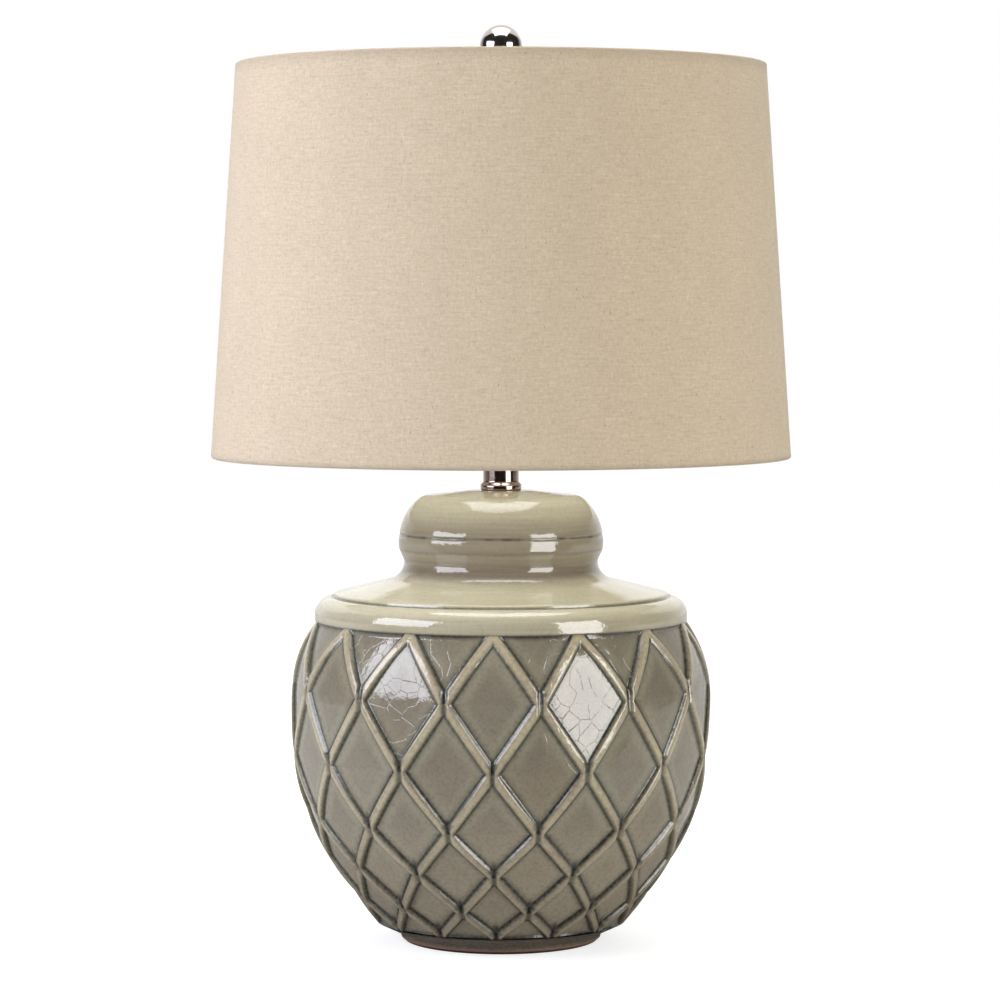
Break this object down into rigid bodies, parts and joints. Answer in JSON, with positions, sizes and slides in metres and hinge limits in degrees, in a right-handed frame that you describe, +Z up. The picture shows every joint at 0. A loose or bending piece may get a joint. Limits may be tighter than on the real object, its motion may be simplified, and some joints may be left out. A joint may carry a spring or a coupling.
{
  "type": "ginger jar lamp",
  "caption": "Table lamp with a glazed ginger jar base in a raised diamond lattice, a metal neck and a linen drum shade on a harp.",
  "frame": {"origin": "on the table under the centre of the foot", "axes": "+Z up through the jar, the neck and the finial; -Y is the front, where the switch knob points; +Y is the back, with the cord bushing and the shade's seam"},
  "size_m": [0.406, 0.4067, 0.642],
  "materials": {
    "glaze": "gloss",
    "felt": "matte",
    "zinc_steel": "satin",
    "steel": "satin",
    "nickel": "polished",
    "brass": "polished",
    "bushing_plastic": "matte",
    "black_plastic": "gloss",
    "moulded_insulator": "matte",
    "fibre": "matte",
    "aluminium": "satin",
    "bulb_glass": "frosted",
    "bulb_insulator": "gloss",
    "linen": "matte",
    "styrene": "matte",
    "white_wire": "satin"
  },
  "bodies": {
    "lamp": {"jar_body": "glaze", "felt_pad": "felt", "base_plate": "zinc_steel", "lamp_pipe": "zinc_steel", "bottom_washer": "zinc_steel", "bottom_nut": "steel", "cord_bushing": "bushing_plastic", "top_bushing": "bushing_plastic", "neck": "nickel", "harp_saddle": "nickel", "lock_washer": "steel", "saddle_lock_nut": "steel", "harp": "nickel", "harp_stud": "nickel", "socket_cap": "nickel", "cap_set_screw": "steel", "socket_shell": "nickel", "socket_liner": "fibre", "socket_body": "moulded_insulator", "terminal_screws": "brass", "screw_shell": "aluminium", "centre_contact": "brass"},
    "left_ferrule": {"ferrule_left": "nickel"},
    "right_ferrule": {"ferrule_right": "nickel"},
    "switch": {"switch_shaft": "steel", "switch_knob": "black_plastic"},
    "bulb": {"bulb_contact": "steel", "bulb_insulator": "bulb_insulator", "bulb_screw_cap": "aluminium", "bulb_glass": "bulb_glass"},
    "shade": {"shade_fabric": "linen", "shade_liner": "styrene", "shade_top_ring": "white_wire", "shade_bottom_ring": "white_wire", "spider_hub": "white_wire", "spider_arms": "white_wire"},
    "finial": {"finial_insert": "brass", "finial_knob": "nickel"}
  },
  "joints": [
    {"name": "left_ferrule_lift", "type": "slide", "parent": "lamp", "child": "left_ferrule", "axis": [0, 0, 1], "range_m": [0, 0.014]},
    {"name": "right_ferrule_lift", "type": "slide", "parent": "lamp", "child": "right_ferrule", "axis": [0, 0, 1], "range_m": [0, 0.014]},
    {"name": "switch_turn", "type": "hinge", "parent": "lamp", "child": "switch", "pos_m": [0, -0.03, 0.3838], "axis": [0, -1, 0], "continuous": true},
    {"name": "bulb_turn", "type": "hinge", "parent": "lamp", "child": "bulb", "pos_m": [0, 0, 0.403], "axis": [0, 0, 1], "range_deg": [0, 1440]},
    {"name": "shade_turn", "type": "hinge", "parent": "lamp", "child": "shade", "pos_m": [0, 0, 0.6043], "axis": [0, 0, 1], "continuous": true},
    {"name": "finial_turn", "type": "hinge", "parent": "lamp", "child": "finial", "pos_m": [0, 0, 0.6123], "axis": [0, 0, 1], "range_deg": [0, 3240]}
  ]
}
